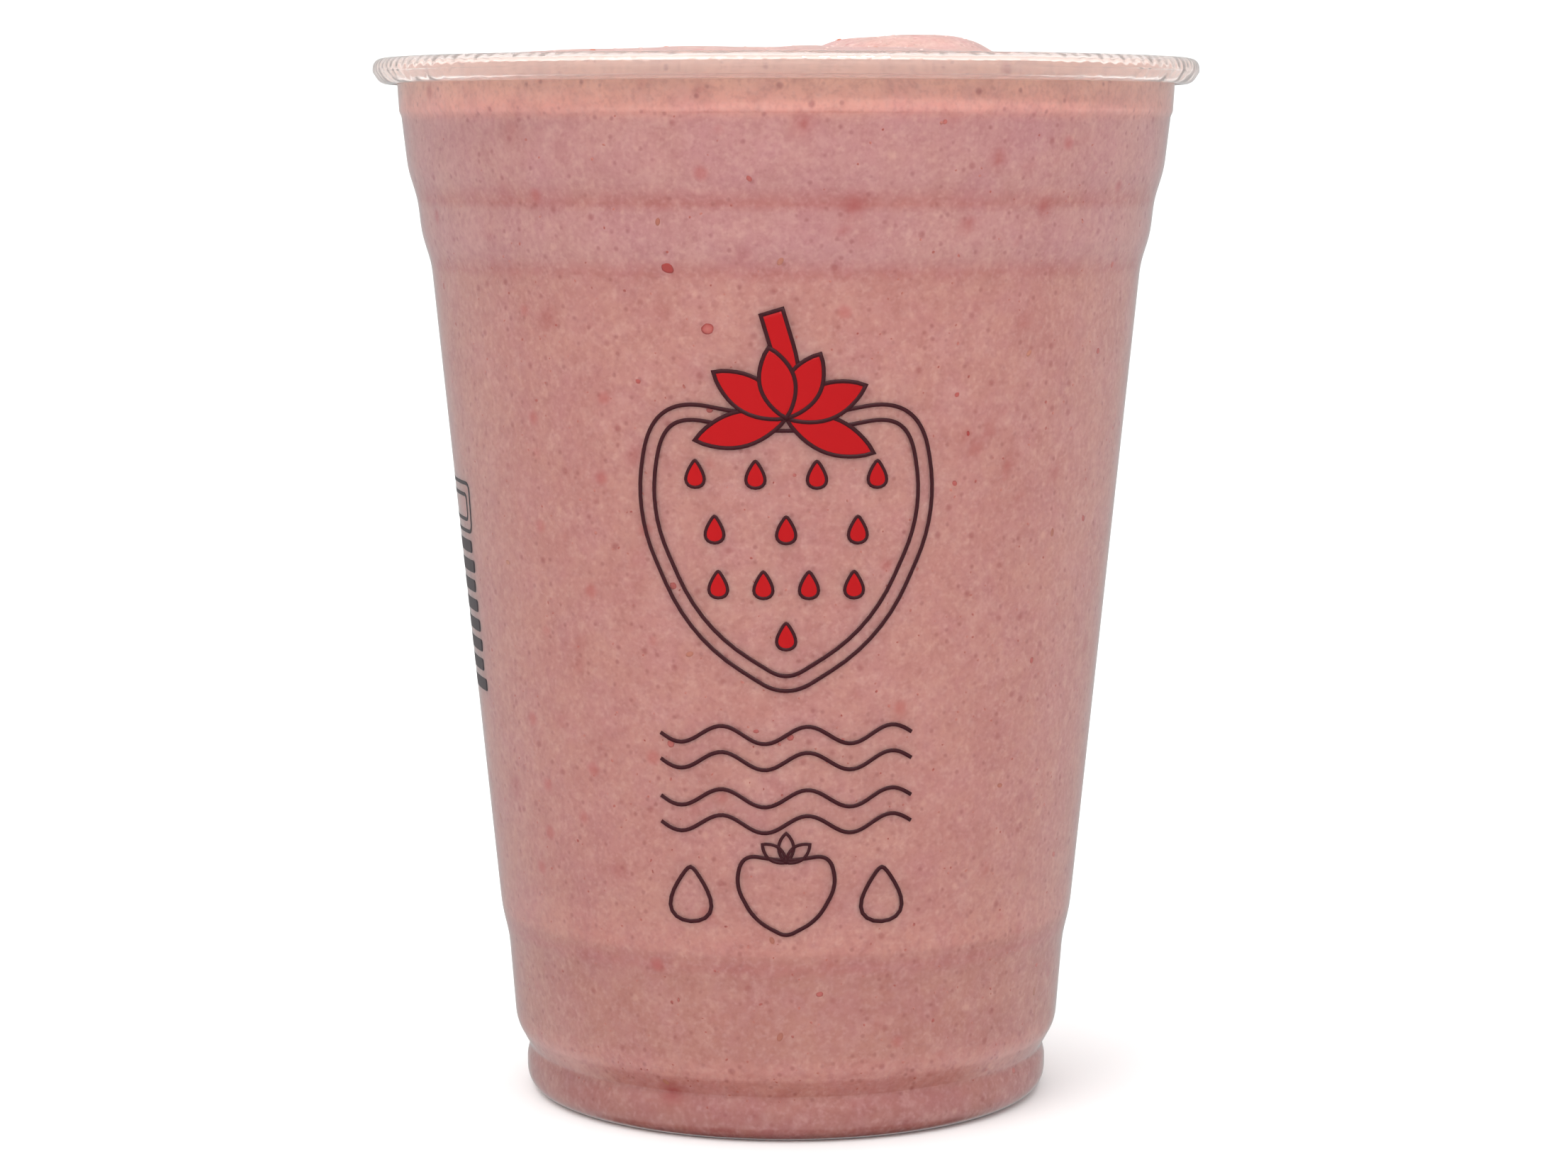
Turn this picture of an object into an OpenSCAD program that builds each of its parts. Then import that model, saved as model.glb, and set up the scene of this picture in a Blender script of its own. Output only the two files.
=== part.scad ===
// A blended strawberry drink in its clear plastic cup, filled over the brim.
// Two solids: the thin formed cup, and the thick drink that fills it wall to wall.
// All sizes are in millimetres. The origin is the centre of the foot, on the
// surface that the cup stands on, with +Z up.

/* [Cup] */
// Diameter over the rolled rim
rim_d = 98; // [84:1:118]
// Height from the foot to the top of the rim
cup_h = 124; // [100:1:150]
// Diameter over the foot
foot_d = 63.2; // [52:0.2:76]
// Thickness of the clear wall
wall = 0.45; // [0.3:0.05:0.7]

/* [Rolled rim] */
// Width that the roll adds outside the wall
roll_w = 2.7; // [2.4:0.1:3.6]
// Height of the roll
roll_h = 3; // [2.8:0.1:4]
// Height of the upright stretch of the roll's outer face
roll_flat = 0.2; // [0.1:0.05:0.4]
// Distance that the face leans in from there to the roll's bottom
roll_lean = 0.8; // [0:0.1:1.2]
// Gap between the roll's cut edge and the wall
roll_gap = 0.5; // [0.3:0.05:0.8]

/* [Upper wall] */
// Height of the plain lip under the roll
lip_h = 3.2; // [2.4:0.1:4.5]
// Depth of the small step under the lip
lip_in = 0.25; // [0.1:0.05:0.6]
// Height of the upper band
upper_band_h = 6.2; // [4.5:0.1:8]
// Height of the middle band
middle_band_h = 4; // [3:0.1:6]
// Distance that each stacking step draws in
step_in = 1.1; // [0.6:0.05:1.6]
// Height that each stacking step takes
step_h = 3.6; // [2.6:0.1:5]
// Radius that a band loses for each millimetre down
upper_draft = 0.115; // [0.05:0.005:0.16]

/* [Lower wall] */
// Height of the foot's side
foot_h = 3.9; // [3.6:0.1:5]
// Depth of the groove above the foot
groove_in = 0.4; // [0.2:0.05:0.8]
// Height from the foot's side to the middle of the groove
groove_h = 1.5; // [0.9:0.1:2]
// Distance that the shoulder stands out past the foot
shoulder_out = 1.3; // [0.8:0.1:2]
// Height of the shoulder's underside
shoulder_h = 3.1; // [2.6:0.1:4.5]
// Height of the lower band
lower_band_h = 10.3; // [7:0.1:14]
// Radius that the lower band gains for each millimetre up
lower_draft = 0.08; // [0.04:0.005:0.12]
// Distance that the ring step stands out past the lower band
ring_out = 0.85; // [0.4:0.05:1.4]
// Height that the ring step takes
ring_h = 3.6; // [2.6:0.1:5]

/* [Base] */
// Radius of the foot's rounded outer corner
foot_round = 2.7; // [2:0.1:3]
// Width of the foot ring at the surface it stands on
foot_ring_w = 5.2; // [4.8:0.1:7]
// Height of the raised base over that surface
base_rise = 3.5; // [2.5:0.1:3.9]
// Distance that the raised base's side leans in
base_lean = 1.4; // [0.8:0.1:2.5]

/* [Drink] */
// Distance from the rim's top down to where the drink meets the cup
brim_gap = 0.8; // [0.6:0.05:1.2]
// Height of the drink's crown over its edge
crown_h = 1.9; // [0.6:0.1:4]
// Height of the lump over the crown
lump_h = 2.4; // [0:0.1:5]
// Width of the lump
lump_w = 20; // [8:0.5:24]
// Depth of the lump, front to back
lump_d = 22; // [8:0.5:26]
// Distance from the cup's axis to the lump, to the right
lump_x = 14.2; // [-15:0.1:15]
// Distance from the cup's axis to the lump, to the back
lump_y = 4; // [-15:0.5:15]
// Height of the drink's soft ripples
ripple_h = 0.3; // [0:0.05:0.6]

/* [Hidden] */
$fn = 96;

half = wall / 2;
foot_r = foot_d / 2;
// Outside of the wall where it meets the roll
mouth_r = rim_d / 2 - roll_w;
crest_z = cup_h - half;
fill_z = cup_h - brim_gap;
// Roundness of a corner: the distance along each side at which its curve starts
soft = 1.1;
groove_soft = 0.4;
roll_soft = 1.1;
roll_edge_soft = 0.7;
// Largest turn between two neighbouring facets of a rounded corner, in degrees
facet_turn = 14;
// The drink's mound: a grid of rings and spokes
mound_rings = 22;
mound_spokes = 72;
// Bare edge between the cup and the mound, and how deep the mound's skirt is sunk
mound_gap = 0.25;
mound_sunk = 0.8;
// Powers that set how flat the crown and the lump are
crown_power = 4;
lump_power = 3;
// Number of ripple arms, and how many degrees they wind for each millimetre out
ripple_arms = 2;
ripple_wind = 9;

// Corners of the middle of the sheet, as [radius, height, roundness], climbing from the
// centre of the base to the top of the rim. Each one is stated from the one before it.
function foot_corners() =
    let (side_r = foot_r - half,
         ring_r = foot_r - foot_ring_w + half)
    [[0, base_rise + half, 0],
     [ring_r - base_lean, base_rise + half, soft],
     [ring_r, half, soft],
     [side_r, half, foot_round - half],
     [side_r, foot_h, groove_soft],
     [side_r - groove_in, foot_h + groove_h, groove_soft]];

function lower_corners() =
    let (shoulder_r = foot_r + shoulder_out - half,
         shoulder_z = foot_h + groove_h + shoulder_h,
         band_r = shoulder_r + lower_draft * lower_band_h,
         band_z = shoulder_z + lower_band_h)
    [[shoulder_r, shoulder_z, soft],
     [band_r, band_z, soft],
     [band_r + ring_out, band_z + ring_h, soft]];

function upper_corners() =
    let (lip_r = mouth_r - half - upper_draft * lip_h,
         lip_z = cup_h - roll_h - lip_h,
         top_r = lip_r - lip_in,
         top_z = lip_z - lip_in * 2,
         upper_r = top_r - upper_draft * upper_band_h,
         upper_z = top_z - upper_band_h,
         middle_r = upper_r - step_in,
         middle_z = upper_z - step_h,
         low_r = middle_r - upper_draft * middle_band_h,
         low_z = middle_z - middle_band_h)
    [[low_r - step_in, low_z - step_h, soft],
     [low_r, low_z, soft],
     [middle_r, middle_z, soft],
     [upper_r, upper_z, soft],
     [top_r, top_z, lip_in],
     [lip_r, lip_z, lip_in]];

// Middle of the roll's top
crest = [mouth_r - half + roll_w / 2, crest_z, 0];

function roll_corners() =
    let (outer_r = rim_d / 2 - half,
         edge_z = cup_h - roll_h + half)
    [crest,
     [outer_r, crest_z, roll_soft],
     [outer_r, crest_z - roll_soft - roll_flat, roll_flat / 2],
     [outer_r - roll_lean, edge_z, roll_edge_soft],
     [mouth_r + roll_gap, edge_z, 0]];

function flat(p) = [p[0], p[1]];
function unit(v) = v / norm(v);
function reversed(list) = [for (i = [len(list) - 1 : -1 : 0]) list[i]];
function tail(list) = [for (i = [1 : len(list) - 1]) list[i]];

// A corner b between a and c as a curve: the point at t lies (1 - t) of the way from the
// curve's start to b, and then t of the way on from there to the same place on b to its end.
function curved(a, b, c, reach) =
    let (start = b + unit(a - b) * reach,
         end = b + unit(c - b) * reach,
         turn = acos(max(-1, unit(b - a) * unit(c - b))),
         n = max(2, ceil(turn / facet_turn)))
    [for (i = [0 : n])
        let (t = i / n)
        (1 - t) * (1 - t) * start + 2 * t * (1 - t) * b + t * t * end];

// The whole line through the corners, every inner corner rounded
function rounded(corners) =
    let (last = len(corners) - 1)
    concat([flat(corners[0])],
           [for (i = [1 : last - 1])
               each curved(flat(corners[i - 1]), flat(corners[i]),
                           flat(corners[i + 1]), corners[i][2])],
           [flat(corners[last])]);

// The line moved sideways, to its left when gap is positive: each point goes square to the
// mean direction of its two sides, far enough that both sides end gap away.
function beside(line, gap) =
    let (last = len(line) - 1)
    [for (i = [0 : last])
        let (before = unit(line[max(i, 1)] - line[max(i, 1) - 1]),
             after = unit(line[min(i, last - 1) + 1] - line[min(i, last - 1)]),
             along = unit(before + after),
             reach = gap / (along * before))
        line[i] + reach * [-along[1], along[0]]];

bowl_line = rounded(concat(foot_corners(), lower_corners(), upper_corners(),
                           [[mouth_r - half, crest_z, roll_soft], crest]));
roll_line = rounded(roll_corners());
sheet_line = concat(bowl_line, tail(roll_line));
inner_line = beside(bowl_line, half);

// Height of the drink's surface: a flat crown that rolls down at the edge, a soft lump
// to one side and low ripples that wind round the axis and die away at the edge
mound_r = mouth_r - wall - mound_gap;
function lump(x, y) =
    let (u = 2 * (x - lump_x) / lump_w, v = 2 * (y - lump_y) / lump_d)
    lump_h * exp(-pow(u * u + v * v, lump_power));
function ripple(x, y) =
    let (r = norm([x, y]), s = r / mound_r)
    ripple_h * s * (1 - pow(s, 4)) * sin(ripple_arms * atan2(y, x) + ripple_wind * r);
function surface_z(x, y) =
    fill_z + crown_h * (1 - 0.92 * pow(norm([x, y]) / mound_r, crown_power))
    + lump(x, y) + ripple(x, y);

// Radius of each ring of the mound, closer together towards its rolled edge
function ring_radius(i) = mound_r * sin(90 * i / mound_rings);

module mound() {
    angles = [for (j = [0 : mound_spokes - 1]) 360 * j / mound_spokes];
    rings = [for (i = [1 : mound_rings], a = angles)
                let (x = ring_radius(i) * cos(a), y = ring_radius(i) * sin(a))
                [x, y, surface_z(x, y)]];
    skirt = [for (a = angles) [mound_r * cos(a), mound_r * sin(a), fill_z - mound_sunk]];
    top = len(rings) + len(skirt);
    bottom = top + 1;
    points = concat(rings, skirt, [[0, 0, surface_z(0, 0)], [0, 0, fill_z - mound_sunk]]);
    spokes = [0 : mound_spokes - 1];
    bands = [for (i = [0 : mound_rings - 1], j = spokes)
                let (a = i * mound_spokes,
                     k = (j + 1) % mound_spokes)
                each [[a + j, a + mound_spokes + j, a + k],
                      [a + k, a + mound_spokes + j, a + mound_spokes + k]]];
    cap = [for (j = spokes) [top, j, (j + 1) % mound_spokes]];
    floor_start = mound_rings * mound_spokes;
    under = [for (j = spokes) [bottom, floor_start + (j + 1) % mound_spokes, floor_start + j]];
    polyhedron(points = points, faces = [for (f = concat(cap, bands, under)) reversed(f)]);
}

module cup() {
    color([0.86, 0.89, 0.9, 0.4])
        rotate_extrude()
            polygon(concat(beside(sheet_line, -half), reversed(beside(sheet_line, half))));
}

module smoothie() {
    color([0.82, 0.6, 0.57]) {
        rotate_extrude()
            intersection() {
                polygon(concat(inner_line, [[0, cup_h]]));
                square([rim_d, fill_z]);
            }
        mound();
    }
}

cup();
smoothie();
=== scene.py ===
"""A blended strawberry drink in its clear plastic cup, filled over the brim.

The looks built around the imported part. Blender works in metres; every size below is in
millimetres, in the part's own frame: the cup's axis is the Z axis, the foot stands on z = 0
and the front looks along -Y. MM turns millimetres into metres when a mesh is made.
"""
import math

import bpy
import numpy as np
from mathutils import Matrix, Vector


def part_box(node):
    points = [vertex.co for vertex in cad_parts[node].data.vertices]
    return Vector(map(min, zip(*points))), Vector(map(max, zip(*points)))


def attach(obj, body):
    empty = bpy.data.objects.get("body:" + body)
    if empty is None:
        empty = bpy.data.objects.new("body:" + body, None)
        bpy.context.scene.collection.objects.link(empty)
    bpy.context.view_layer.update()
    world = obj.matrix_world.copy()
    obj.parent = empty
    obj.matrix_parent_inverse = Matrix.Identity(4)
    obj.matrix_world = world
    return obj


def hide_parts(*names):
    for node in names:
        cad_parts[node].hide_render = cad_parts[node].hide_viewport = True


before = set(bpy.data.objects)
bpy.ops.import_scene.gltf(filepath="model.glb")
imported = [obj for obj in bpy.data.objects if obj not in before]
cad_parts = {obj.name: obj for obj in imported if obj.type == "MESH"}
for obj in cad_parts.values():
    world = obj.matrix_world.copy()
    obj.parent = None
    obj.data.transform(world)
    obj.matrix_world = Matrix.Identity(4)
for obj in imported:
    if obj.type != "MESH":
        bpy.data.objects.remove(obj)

MM = 0.001
SEED = 20

cup_low, cup_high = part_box("cup")
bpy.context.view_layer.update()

# Cup, as in the part's source; the two overall sizes come from the frame
RIM_D = round((cup_high.x - cup_low.x) / MM)
CUP_H = round(cup_high.z / MM)
FOOT_D = 63.2
WALL = 0.45
HALF = WALL / 2
ROLL_W = 2.7
ROLL_H = 3.0
ROLL_FLAT = 0.2
ROLL_LEAN = 0.8
ROLL_GAP = 0.5
LIP_H = 3.2
LIP_IN = 0.25
UPPER_BAND_H = 6.2
MIDDLE_BAND_H = 4.0
STEP_IN = 1.1
STEP_H = 3.6
UPPER_DRAFT = 0.115
FOOT_H = 3.9
GROOVE_IN = 0.4
GROOVE_H = 1.5
SHOULDER_OUT = 1.3
SHOULDER_H = 3.1
LOWER_BAND_H = 10.3
LOWER_DRAFT = 0.08
RING_OUT = 0.85
RING_H = 3.6
FOOT_ROUND = 2.7
FOOT_RING_W = 5.2
BASE_RISE = 3.5
BASE_LEAN = 1.4
SOFT = 1.1
GROOVE_SOFT = 0.4
ROLL_EDGE_SOFT = 0.7
FOOT_R = FOOT_D / 2
MOUTH_R = RIM_D / 2 - ROLL_W
CREST_Z = CUP_H - HALF

# Drink, as in the part's source
BRIM_GAP = 0.8
CROWN_H = 1.9
LUMP_H = 2.4
LUMP_W = 20.0
LUMP_D = 22.0
LUMP_X = 14.2
LUMP_Y = 4.0
RIPPLE_H = 0.3
RIPPLE_ARMS = 2
RIPPLE_WIND = 9.0
FILL_Z = CUP_H - BRIM_GAP
# Rise of the top to the left for each millimetre
TOP_LEAN = 0.008
# Depth that the drink reaches into the wall, so that no air gap shows
SUNK = 0.08

# Fineness of the meshes: largest turn between two facets of a rounded corner in degrees,
# spokes of the cup and of the drink, step along the drink's line, and rings of its top
TURN = 5.0
CUP_SPOKES = 240
DRINK_SPOKES = 300
DRINK_STEP = 0.95
MOUND_RINGS = 84

rng = np.random.default_rng(SEED)


# ---------------------------------------------------------------- lines and surfaces

def cup_corners():
    """Corners of the middle of the cup's sheet, as rows of radius, height and roundness.

    They run from the centre of the base up to the rim and round the roll to its cut edge,
    and each is stated from the one before it.
    """
    side = FOOT_R - HALF
    ring = FOOT_R - FOOT_RING_W + HALF
    shoulder_z = FOOT_H + GROOVE_H + SHOULDER_H
    shoulder = FOOT_R + SHOULDER_OUT - HALF
    band = shoulder + LOWER_DRAFT * LOWER_BAND_H
    band_z = shoulder_z + LOWER_BAND_H
    lip = MOUTH_R - HALF - UPPER_DRAFT * LIP_H
    lip_z = CUP_H - ROLL_H - LIP_H
    top = lip - LIP_IN
    top_z = lip_z - LIP_IN * 2
    upper = top - UPPER_DRAFT * UPPER_BAND_H
    upper_z = top_z - UPPER_BAND_H
    middle = upper - STEP_IN
    middle_z = upper_z - STEP_H
    low = middle - UPPER_DRAFT * MIDDLE_BAND_H
    low_z = middle_z - MIDDLE_BAND_H
    outer = RIM_D / 2 - HALF
    edge_z = CUP_H - ROLL_H + HALF
    return np.array([
        [0, BASE_RISE + HALF, 0],
        [ring - BASE_LEAN, BASE_RISE + HALF, SOFT],
        [ring, HALF, SOFT],
        [side, HALF, FOOT_ROUND - HALF],
        [side, FOOT_H, GROOVE_SOFT],
        [side - GROOVE_IN, FOOT_H + GROOVE_H, GROOVE_SOFT],
        [shoulder, shoulder_z, SOFT],
        [band, band_z, SOFT],
        [band + RING_OUT, band_z + RING_H, SOFT],
        [low - STEP_IN, low_z - STEP_H, SOFT],
        [low, low_z, SOFT],
        [middle, middle_z, SOFT],
        [upper, upper_z, SOFT],
        [top, top_z, LIP_IN],
        [lip, lip_z, LIP_IN],
        [MOUTH_R - HALF, CREST_Z, SOFT],
        [outer, CREST_Z, SOFT],
        [outer, CREST_Z - SOFT - ROLL_FLAT, ROLL_FLAT / 2],
        [outer - ROLL_LEAN, edge_z, ROLL_EDGE_SOFT],
        [MOUTH_R + ROLL_GAP, edge_z, 0],
    ])


def unit(vectors):
    """Each row divided by its length."""
    return vectors / np.linalg.norm(vectors, axis=-1, keepdims=True)


def curved(before, corner, after, reach, turn=TURN):
    """A corner as a curve: the point at t is (1 - t)^2 start + 2 t (1 - t) corner + t^2 end,
    where start and end lie reach away from the corner along its two sides."""
    to_start = unit(before - corner)
    to_end = unit(after - corner)
    angle = math.degrees(math.acos(np.clip(-to_start @ to_end, -1, 1)))
    t = np.linspace(0, 1, max(3, math.ceil(angle / turn) + 1))[:, None]
    start = corner + to_start * reach
    end = corner + to_end * reach
    return (1 - t) ** 2 * start + 2 * t * (1 - t) * corner + t * t * end


def rounded(corners, loop=False):
    """The line through the corners with each one curved by its roundness; the two ends of
    an open line stay as they are, and a loop curves every corner."""
    flat = corners[:, :2]
    if loop:
        before = np.roll(flat, 1, axis=0)
        after = np.roll(flat, -1, axis=0)
        parts = [curved(a, b, c, r) for a, b, c, r in zip(before, flat, after, corners[:, 2])]
        return np.concatenate(parts)
    middle = zip(flat[:-2], flat[1:-1], flat[2:], corners[1:-1, 2])
    parts = [curved(a, b, c, r) for a, b, c, r in middle]
    return np.concatenate([flat[:1], *parts, flat[-1:]])


def beside(line, gap, loop=False):
    """The line moved to its left by gap: each point goes square to the mean direction of its
    two sides, far enough that both sides end gap away."""
    if loop:
        sides = unit(np.roll(line, -1, axis=0) - line)
        before = np.roll(sides, 1, axis=0)
        after = sides
    else:
        sides = unit(np.diff(line, axis=0))
        before = np.concatenate([sides[:1], sides])
        after = np.concatenate([sides, sides[-1:]])
    along = unit(before + after)
    reach = gap / np.sum(along * before, axis=1)
    return line + reach[:, None] * np.stack([-along[:, 1], along[:, 0]], axis=1)


def lengths(line):
    """Distance along the line from its start to each point."""
    return np.concatenate([[0], np.cumsum(np.linalg.norm(np.diff(line, axis=0), axis=1))])


def evened(line, step):
    """The line with points put in wherever two of its own lie further apart than step."""
    s = lengths(line)
    counts = np.maximum(1, np.ceil(np.diff(s) / step).astype(int))
    places = [np.linspace(a, b, n, endpoint=False) for a, b, n in zip(s[:-1], s[1:], counts)]
    at = np.concatenate([*places, s[-1:]])
    return np.stack([np.interp(at, s, line[:, 0]), np.interp(at, s, line[:, 1])], axis=1)


def turned(radius, angle, height):
    """Points at a radius and a height, turned by an angle about the cup's axis: angle 0 is
    the front, and it grows to the right. x = r sin a, y = -r cos a."""
    radius, angle, height = np.broadcast_arrays(radius, angle, height)
    return np.stack([radius * np.sin(angle), -radius * np.cos(angle), height], axis=-1)


def spokes_of(count):
    """Angles of that many evenly spaced spokes."""
    return np.arange(count) * 2 * math.pi / count


def ring_faces(rings, spokes, start=0):
    """Four-sided faces between neighbouring rings of points, each ring closed on itself."""
    i = np.arange(rings - 1)[:, None]
    j = np.arange(spokes)[None, :]
    k = (j + 1) % spokes
    low = start + i * spokes
    high = low + spokes
    return np.stack([low + j, low + k, high + k, high + j], axis=-1).reshape(-1, 4)


def pole_faces(pole, ring_start, spokes, upward):
    """Three-sided faces from a pole to a ring of points, facing down unless upward."""
    j = np.arange(spokes)
    k = (j + 1) % spokes
    poles = np.full(spokes, pole)
    if upward:
        return np.stack([ring_start + j, ring_start + k, poles], axis=-1)
    return np.stack([ring_start + k, ring_start + j, poles], axis=-1)


def lathe(rings, first, last):
    """A closed surface from rings of points, shaped (ring, spoke, 3), and the two poles that
    close it: the first under the first ring and the last over the last one."""
    count, spokes = rings.shape[:2]
    points = np.concatenate([rings.reshape(-1, 3), [first], [last]])
    total = count * spokes
    caps = [pole_faces(total, 0, spokes, False),
            pole_faces(total + 1, total - spokes, spokes, True)]
    return points, ring_faces(count, spokes), np.concatenate(caps)


# ---------------------------------------------------------------- pieces

def add_mesh(name, points, quads, triangles, material, smooth=True):
    """An object whose mesh has these points, given in millimetres, and these faces."""
    mesh = bpy.data.meshes.new(name)
    corners = np.concatenate([np.ravel(quads), np.ravel(triangles)]).astype(np.int32)
    sizes = np.concatenate([np.full(len(quads), 4), np.full(len(triangles), 3)])
    starts = np.concatenate([[0], np.cumsum(sizes)[:-1]]).astype(np.int32)
    mesh.vertices.add(len(points))
    mesh.vertices.foreach_set("co", (np.asarray(points) * MM).astype(np.float32).ravel())
    mesh.loops.add(len(corners))
    mesh.loops.foreach_set("vertex_index", corners)
    mesh.polygons.add(len(sizes))
    mesh.polygons.foreach_set("loop_start", starts)
    mesh.update(calc_edges=True)
    mesh.validate()
    if smooth:
        mesh.shade_smooth()
    mesh.materials.append(material)
    piece = bpy.data.objects.new(name, mesh)
    bpy.context.scene.collection.objects.link(piece)
    return piece


def add_piece(name, shape, material, node=None, smooth=True):
    """A piece of the part: it rides on the cup's one body and may stand for a CAD node."""
    piece = add_mesh(name, *shape, material, smooth)
    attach(piece, "root")
    if node:
        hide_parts(node)
    return piece


def set_values(piece, name, values):
    """Keeps one number for each of the piece's points under this attribute name."""
    attribute = piece.data.attributes.new(name, "FLOAT", "POINT")
    attribute.data.foreach_set("value", np.asarray(values, np.float32).ravel())


# ---------------------------------------------------------------- materials

def linear(red, green, blue):
    """A colour given as three values from 0 to 255 on a screen, as Blender's linear light."""
    c = np.array([red, green, blue]) / 255
    low = c / 12.92
    high = ((c + 0.055) / 1.055) ** 2.4
    return (*np.where(c <= 0.04045, low, high), 1.0)


def new_material(name):
    """An empty node material; returns it and its output node."""
    material = bpy.data.materials.new(name)
    material.use_nodes = True
    material.node_tree.nodes.clear()
    output = material.node_tree.nodes.new("ShaderNodeOutputMaterial")
    return material, output


def add_node(tree, kind, inputs=None, **settings):
    """A node with its settings, and its inputs set to values or joined to other sockets."""
    made = tree.nodes.new(kind)
    for key, value in settings.items():
        setattr(made, key, value)
    for key, value in (inputs or {}).items():
        if isinstance(value, bpy.types.NodeSocket):
            tree.links.new(value, made.inputs[key])
        else:
            made.inputs[key].default_value = value
    return made


def noise(tree, place, scale, detail=2.0, roughness=0.5, shift=0.0):
    """Noise over the object, with this many features to a metre; shift gives another one."""
    mapping = add_node(tree, "ShaderNodeMapping", {"Vector": place, "Location": (shift, 0, 0)})
    inputs = {"Vector": mapping.outputs[0], "Scale": scale, "Detail": detail,
              "Roughness": roughness}
    return add_node(tree, "ShaderNodeTexNoise", inputs).outputs["Fac"]


def spread(tree, value, low, high, to_low=0.0, to_high=1.0, smooth=True):
    """A value taken from one range to another, clamped, and eased at both ends if smooth."""
    kind = "SMOOTHSTEP" if smooth else "LINEAR"
    inputs = {"Value": value, "From Min": low, "From Max": high,
              "To Min": to_low, "To Max": to_high}
    return add_node(tree, "ShaderNodeMapRange", inputs, interpolation_type=kind).outputs[0]


def math_node(tree, operation, first, second):
    """One sum, product or other operation on two values."""
    return add_node(tree, "ShaderNodeMath", {0: first, 1: second},
                    operation=operation).outputs[0]


def blended(tree, share, first, second, mode="MIX"):
    """One colour mixed into another by a share."""
    inputs = {"Factor": share, "A": first, "B": second}
    made = tree.nodes.new("ShaderNodeMix")
    made.data_type = "RGBA"
    made.blend_type = mode
    sockets = {"Factor": made.inputs[0], "A": made.inputs[6], "B": made.inputs[7]}
    for key, value in inputs.items():
        if isinstance(value, bpy.types.NodeSocket):
            tree.links.new(value, sockets[key])
        else:
            sockets[key].default_value = value
    return made.outputs[2]


def specks(tree, place, per_metre, reach, soft, share, shift):
    """Round specks: 1 within reach of a scattered point and 0 soft past it, for that share
    of the points. Reach and soft are in millimetres, and the points lie in cells, so many
    to a metre."""
    mapping = add_node(tree, "ShaderNodeMapping", {"Vector": place, "Location": (shift, 0, 0)})
    cells = add_node(tree, "ShaderNodeTexVoronoi",
                     {"Vector": mapping.outputs[0], "Scale": per_metre})
    unit_mm = per_metre * MM
    spot = spread(tree, cells.outputs["Distance"], reach * unit_mm, (reach + soft) * unit_mm,
                  1.0, 0.0)
    parts = add_node(tree, "ShaderNodeSeparateColor", {0: cells.outputs["Color"]})
    chosen = spread(tree, parts.outputs[0], 1 - share - 0.02, 1 - share)
    return math_node(tree, "MULTIPLY", spot, chosen)


def fruity(tree, place, colour):
    """The drink's colour with soft clouds, fine grain, dark specks of skin, softer red fruit
    and pale flesh laid over it."""
    cloud = spread(tree, noise(tree, place, 150, 3.0, 0.6), 0.35, 0.65, 0.0, 0.2)
    colour = blended(tree, cloud, colour, linear(226, 180, 160))
    cloud = spread(tree, noise(tree, place, 210, 3.0, 0.6, 3.1), 0.4, 0.7, 0.0, 0.2)
    colour = blended(tree, cloud, colour, linear(208, 144, 156))
    for scale, shift, strength in GRAINS:
        grain = spread(tree, noise(tree, place, scale, 2.0, 0.6, shift), 0.42, 0.72,
                       0.0, strength)
        colour = blended(tree, grain, colour, linear(164, 84, 84))
        grain = spread(tree, noise(tree, place, scale, 2.0, 0.6, shift + 9), 0.45, 0.75,
                       0.0, strength)
        colour = blended(tree, grain, colour, linear(244, 206, 198))
    for per_metre, reach, soft, share, shift, strength, tint in SPECK_KINDS:
        spots = specks(tree, place, per_metre, reach, soft, share, shift)
        colour = blended(tree, math_node(tree, "MULTIPLY", spots, strength), colour,
                         linear(*tint))
    return colour


# Fine grain: features to a metre, shift and strength
GRAINS = [(520, 5.7, 0.16), (1500, 8.3, 0.2)]

# Specks in the drink: cells to a metre, reach and soft edge in millimetres, share of the
# cells that hold one, shift, strength and colour
SPECK_KINDS = [
    (650, 0.1, 0.3, 0.6, 0.0, 0.4, (158, 72, 74)),
    (330, 0.15, 0.45, 0.5, 1.3, 0.46, (162, 66, 70)),
    (150, 0.3, 0.9, 0.45, 2.9, 0.42, (196, 82, 82)),
    (240, 0.1, 0.6, 0.4, 4.3, 0.24, (246, 206, 190)),
]

# Colours of the drink against the wall: behind the foot, darker as painted shade; the lower
# band, the plain wall and the upper bands; the lip, lighter as painted light; a dark line of
# painted shade at the steps and pale lines of painted highlight at the corners, palest at the
# shoulder; and behind the roll, lighter as painted light
# Painted shade: the drink behind the foot is darker for the shade that falls low on the cup
FOOT_SHADE_TONE = (188, 120, 114)
LOWER_TONE = (199, 137, 126)
MIDDLE_TONE = (206, 145, 136)
UPPER_TONE = (208, 153, 151)
# Painted light: lighter and more orange at the lip, for light that bleeds down from the lit top
LIP_PAINTED_LIGHT_TONE = (246, 180, 168)
# Painted shade: a darker line where a step of the wall faces down
STEP_SHADE_TONE = (198, 126, 121)
# Painted highlight: a paler line where a corner of the wall stands out, palest at the shoulder
CORNER_HIGHLIGHT_TONE = (214, 150, 140)
SHOULDER_HIGHLIGHT_TONE = (230, 172, 164)
# Painted light: lighter still behind the roll, against the shadow that the roll casts
ROLL_PAINTED_LIGHT_TONE = (255, 206, 186)
# Colour of the open top
TOP_TONE = (186, 150, 143)
# Share of red that a full blush adds
BLUSH_STRENGTH = 0.8


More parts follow.
